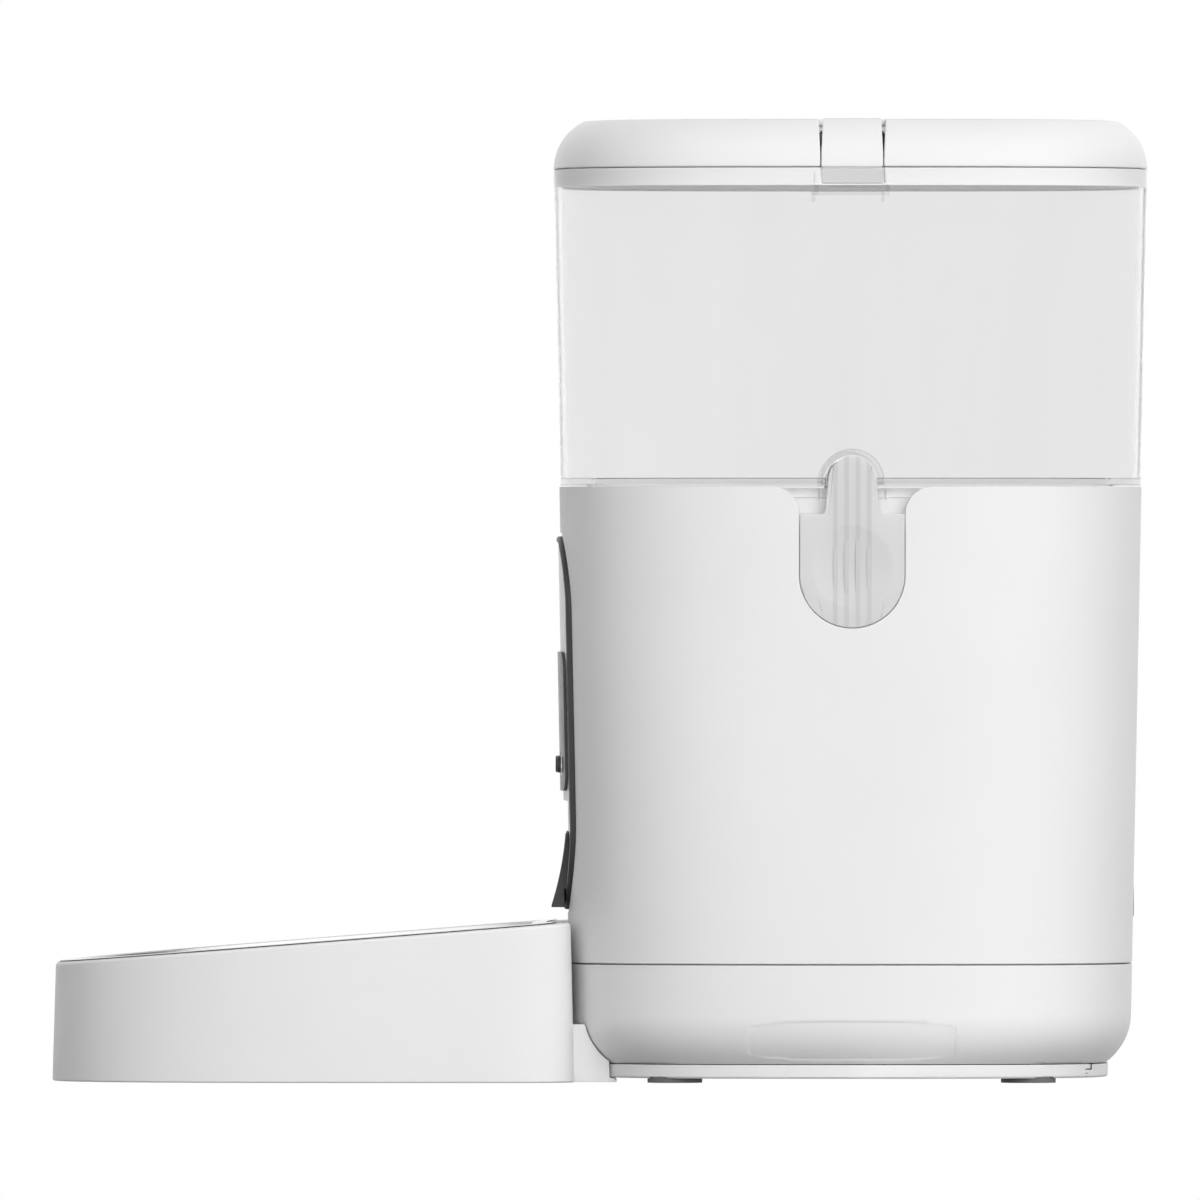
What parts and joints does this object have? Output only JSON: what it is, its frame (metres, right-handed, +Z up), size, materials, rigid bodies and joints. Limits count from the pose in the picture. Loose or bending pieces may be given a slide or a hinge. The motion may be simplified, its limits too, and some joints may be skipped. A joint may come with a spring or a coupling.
{
  "type": "automatic pet feeder",
  "caption": "Tower dry-food dispenser for pets: clear lift-out tank with a clipped lid over a driven metering rotor, a chute under a front panel, and a detachable steel-lined bowl.",
  "frame": {"origin": "on the floor, on the symmetry plane, under the middle of the feeder's whole length from the bowl's front to the tank's back", "axes": "+Z up; the bowl and the front panel face -Y; +X is the feeder's own left"},
  "size_m": [0.1976, 0.3612, 0.3162],
  "materials": {
    "white_shell": "fine matte texture",
    "panel_white": "satin",
    "inner_plastic": "satin",
    "lid_gloss": "semi-gloss",
    "clear_tank": "clear, faintly smoked",
    "clear_latch": "clear, faintly smoked",
    "charcoal_trim": "satin charcoal",
    "smoked_window": "gloss",
    "black_parts": "satin",
    "ring_chrome": "polished",
    "foot_rubber": "matte",
    "seal_rubber": "soft silicone",
    "paddle_rubber": "soft silicone",
    "rotor_plastic": "satin",
    "gear_nylon": "natural nylon",
    "pinion_brass": "machined",
    "bush_bronze": "sintered",
    "shaft_steel": "ground",
    "screw_steel": "zinc plated",
    "contact_steel": "nickel plated",
    "motor_steel": "zinc plated",
    "gearhead_zinc": "die cast",
    "bowl_steel": "satin",
    "cell_jacket": "printed film jacket",
    "circuit_green": "solder mask",
    "desiccant_cloth": "non-woven pouch"
  },
  "bodies": {
    "casing": {"base_shell": "white_shell", "bottom_cover": "white_shell", "feet": "foot_rubber", "cover_screws": "screw_steel", "battery_cells": "cell_jacket", "battery_contacts": "contact_steel", "body_shell": "white_shell", "tank_well": "inner_plastic", "chute": "inner_plastic", "front_trim": "charcoal_trim", "front_panel": "panel_white", "display_window": "smoked_window", "display_board": "circuit_green", "tact_switches": "black_parts", "outlet_hood": "charcoal_trim", "button_rings": "ring_chrome", "motor_plate": "inner_plastic", "motor_can": "motor_steel", "gearhead": "gearhead_zinc", "upper_bush": "bush_bronze", "lower_bush": "bush_bronze", "main_board": "circuit_green", "power_socket": "black_parts"},
    "battery_door": {"battery_cover": "white_shell"},
    "left_key": {"left_button": "black_parts"},
    "middle_key": {"middle_button": "black_parts"},
    "right_key": {"right_button": "black_parts"},
    "drive": {"drive_gear": "gear_nylon", "drive_shaft": "shaft_steel"},
    "pinion": {"motor_pinion": "pinion_brass"},
    "tank": {"food_tank": "clear_tank", "tank_floor": "panel_white"},
    "left_latch": {"left_press_latch": "clear_latch"},
    "right_latch": {"right_press_latch": "clear_latch"},
    "rotor": {"rotor_hub": "rotor_plastic", "rotor_paddles": "paddle_rubber", "stirrer": "rotor_plastic"},
    "lid": {"lid_shell": "lid_gloss", "lid_liner": "panel_white", "lid_seal": "seal_rubber", "desiccant_cage": "panel_white", "desiccant_pack": "desiccant_cloth", "clip_pins": "shaft_steel"},
    "left_clip": {"left_lid_clip": "lid_gloss"},
    "right_clip": {"right_lid_clip": "lid_gloss"},
    "bowl": {"bowl_holder": "white_shell"},
    "bowl_insert": {"steel_bowl": "bowl_steel"}
  },
  "joints": [
    {"name": "tank_lift", "type": "slide", "parent": "casing", "child": "tank", "axis": [0, 0, 1], "range_m": [0, 0.09]},
    {"name": "lid_lift", "type": "slide", "parent": "tank", "child": "lid", "axis": [0, 0, 1], "range_m": [0, 0.06]},
    {"name": "left_clip_hinge", "type": "hinge", "parent": "lid", "child": "left_clip", "pos_m": [0.0855, 0.08257, 0.3123], "axis": [0, -1, 0], "range_deg": [0, 70]},
    {"name": "right_clip_hinge", "type": "hinge", "parent": "lid", "child": "right_clip", "pos_m": [-0.0855, 0.08257, 0.3123], "axis": [0, 1, 0], "range_deg": [0, 70]},
    {"name": "left_latch_press", "type": "hinge", "parent": "tank", "child": "left_latch", "pos_m": [0.09327, 0.08257, 0.203], "axis": [0, 1, 0], "range_deg": [0, 2.1], "stiffness_Nm_per_rad": 9},
    {"name": "right_latch_press", "type": "hinge", "parent": "tank", "child": "right_latch", "pos_m": [-0.09327, 0.08257, 0.203], "axis": [0, -1, 0], "range_deg": [0, 2.1], "stiffness_Nm_per_rad": 9},
    {"name": "rotor_spin", "type": "hinge", "parent": "tank", "child": "rotor", "pos_m": [0, 0.08257, 0.12], "axis": [0, 0, 1], "continuous": true},
    {"name": "drive_spin", "type": "hinge", "parent": "casing", "child": "drive", "pos_m": [0, 0.08257, 0.095], "axis": [0, 0, 1], "continuous": true},
    {"name": "pinion_spin", "type": "hinge", "parent": "casing", "child": "pinion", "pos_m": [0, 0.10502, 0.095], "axis": [0, 0, 1], "continuous": true},
    {"name": "left_button_press", "type": "slide", "parent": "casing", "child": "left_key", "axis": [0, 1, 0], "range_m": [0, 0.001], "stiffness_N_per_m": 500},
    {"name": "middle_button_press", "type": "slide", "parent": "casing", "child": "middle_key", "axis": [0, 1, 0], "range_m": [0, 0.001], "stiffness_N_per_m": 500},
    {"name": "right_button_press", "type": "slide", "parent": "casing", "child": "right_key", "axis": [0, 1, 0], "range_m": [0, 0.001], "stiffness_N_per_m": 500},
    {"name": "battery_cover_slide", "type": "slide", "parent": "casing", "child": "battery_door", "axis": [0, 1, 0], "range_m": [0, 0.08]},
    {"name": "bowl_slide", "type": "slide", "parent": "casing", "child": "bowl", "axis": [0, -1, 0], "range_m": [0, 0.06]},
    {"name": "steel_bowl_lift", "type": "slide", "parent": "bowl", "child": "bowl_insert", "axis": [0, 0, 1], "range_m": [0, 0.06]}
  ],
  "couplings": [
    {"joint": "rotor_spin", "follows": "drive_spin", "ratio": 1},
    {"joint": "pinion_spin", "follows": "drive_spin", "ratio": -3}
  ]
}
